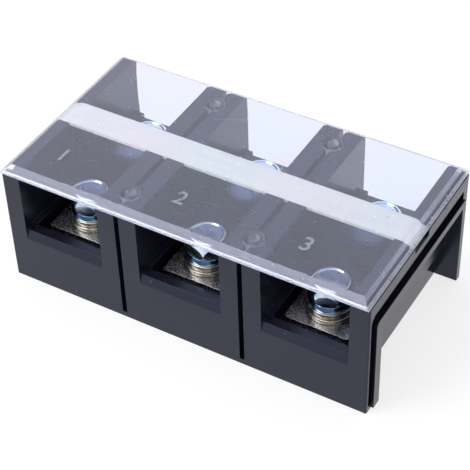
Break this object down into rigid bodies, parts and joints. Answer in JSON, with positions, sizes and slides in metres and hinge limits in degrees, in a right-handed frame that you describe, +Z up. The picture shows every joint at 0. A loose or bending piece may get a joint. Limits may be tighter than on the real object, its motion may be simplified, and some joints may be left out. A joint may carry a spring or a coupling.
{
  "type": "terminal block",
  "caption": "Fixed power terminal block with a dark moulded base, barriers between poles, hexagon screws over flat bars and a clear lift-off cover.",
  "frame": {"origin": "middle of the mounting face, under the middle pole", "axes": "+X along the row of poles, +Y towards the rear row of screws, +Z up out of the panel"},
  "size_m": [0.1358, 0.073, 0.0482],
  "materials": {
    "base_plastic": "satin moulded",
    "clear_plastic": "clear gloss",
    "white_plastic": "satin white",
    "bar_metal": "plated, slightly dull",
    "zinc_steel": "blue-white zinc plate",
    "small_screw_steel": "zinc plate"
  },
  "bodies": {
    "block": {"base": "base_plastic", "marking_strip": "white_plastic", "conductor_bar_1": "bar_metal", "conductor_bar_2": "bar_metal", "conductor_bar_3": "bar_metal", "bar_screw_1": "small_screw_steel", "bar_screw_2": "small_screw_steel", "bar_screw_3": "small_screw_steel"},
    "cover": {"cover": "clear_plastic"},
    "washers_front_1": {"flat_washer_front_1": "zinc_steel", "spring_washer_front_1": "zinc_steel"},
    "screw_front_1": {"screw_front_1": "zinc_steel"},
    "washers_rear_1": {"flat_washer_rear_1": "zinc_steel", "spring_washer_rear_1": "zinc_steel"},
    "screw_rear_1": {"screw_rear_1": "zinc_steel"},
    "washers_front_2": {"flat_washer_front_2": "zinc_steel", "spring_washer_front_2": "zinc_steel"},
    "screw_front_2": {"screw_front_2": "zinc_steel"},
    "washers_rear_2": {"flat_washer_rear_2": "zinc_steel", "spring_washer_rear_2": "zinc_steel"},
    "screw_rear_2": {"screw_rear_2": "zinc_steel"},
    "washers_front_3": {"flat_washer_front_3": "zinc_steel", "spring_washer_front_3": "zinc_steel"},
    "screw_front_3": {"screw_front_3": "zinc_steel"},
    "washers_rear_3": {"flat_washer_rear_3": "zinc_steel", "spring_washer_rear_3": "zinc_steel"},
    "screw_rear_3": {"screw_rear_3": "zinc_steel"}
  },
  "joints": [
    {"name": "cover_lift", "type": "slide", "parent": "block", "child": "cover", "axis": [0, 0, 1], "range_m": [0, 0.03]},
    {"name": "screw_lift_front_1", "type": "slide", "parent": "block", "child": "washers_front_1", "axis": [0, 0, 1], "range_m": [0, 0.0101]},
    {"name": "screw_turn_front_1", "type": "hinge", "parent": "washers_front_1", "child": "screw_front_1", "pos_m": [-0.045, -0.0178, 0.0245], "axis": [0, 0, 1], "range_deg": [0, 2880]},
    {"name": "screw_lift_rear_1", "type": "slide", "parent": "block", "child": "washers_rear_1", "axis": [0, 0, 1], "range_m": [0, 0.0101]},
    {"name": "screw_turn_rear_1", "type": "hinge", "parent": "washers_rear_1", "child": "screw_rear_1", "pos_m": [-0.045, 0.0178, 0.0245], "axis": [0, 0, 1], "range_deg": [0, 2880]},
    {"name": "screw_lift_front_2", "type": "slide", "parent": "block", "child": "washers_front_2", "axis": [0, 0, 1], "range_m": [0, 0.0101]},
    {"name": "screw_turn_front_2", "type": "hinge", "parent": "washers_front_2", "child": "screw_front_2", "pos_m": [0, -0.0178, 0.0245], "axis": [0, 0, 1], "range_deg": [0, 2880]},
    {"name": "screw_lift_rear_2", "type": "slide", "parent": "block", "child": "washers_rear_2", "axis": [0, 0, 1], "range_m": [0, 0.0101]},
    {"name": "screw_turn_rear_2", "type": "hinge", "parent": "washers_rear_2", "child": "screw_rear_2", "pos_m": [0, 0.0178, 0.0245], "axis": [0, 0, 1], "range_deg": [0, 2880]},
    {"name": "screw_lift_front_3", "type": "slide", "parent": "block", "child": "washers_front_3", "axis": [0, 0, 1], "range_m": [0, 0.0101]},
    {"name": "screw_turn_front_3", "type": "hinge", "parent": "washers_front_3", "child": "screw_front_3", "pos_m": [0.045, -0.0178, 0.0245], "axis": [0, 0, 1], "range_deg": [0, 2880]},
    {"name": "screw_lift_rear_3", "type": "slide", "parent": "block", "child": "washers_rear_3", "axis": [0, 0, 1], "range_m": [0, 0.0101]},
    {"name": "screw_turn_rear_3", "type": "hinge", "parent": "washers_rear_3", "child": "screw_rear_3", "pos_m": [0.045, 0.0178, 0.0245], "axis": [0, 0, 1], "range_deg": [0, 2880]}
  ],
  "couplings": [
    {"joint": "screw_lift_front_1", "follows": "screw_turn_front_1", "m_per_rad": 0.00019894},
    {"joint": "screw_lift_rear_1", "follows": "screw_turn_rear_1", "m_per_rad": 0.00019894},
    {"joint": "screw_lift_front_2", "follows": "screw_turn_front_2", "m_per_rad": 0.00019894},
    {"joint": "screw_lift_rear_2", "follows": "screw_turn_rear_2", "m_per_rad": 0.00019894},
    {"joint": "screw_lift_front_3", "follows": "screw_turn_front_3", "m_per_rad": 0.00019894},
    {"joint": "screw_lift_rear_3", "follows": "screw_turn_rear_3", "m_per_rad": 0.00019894}
  ]
}
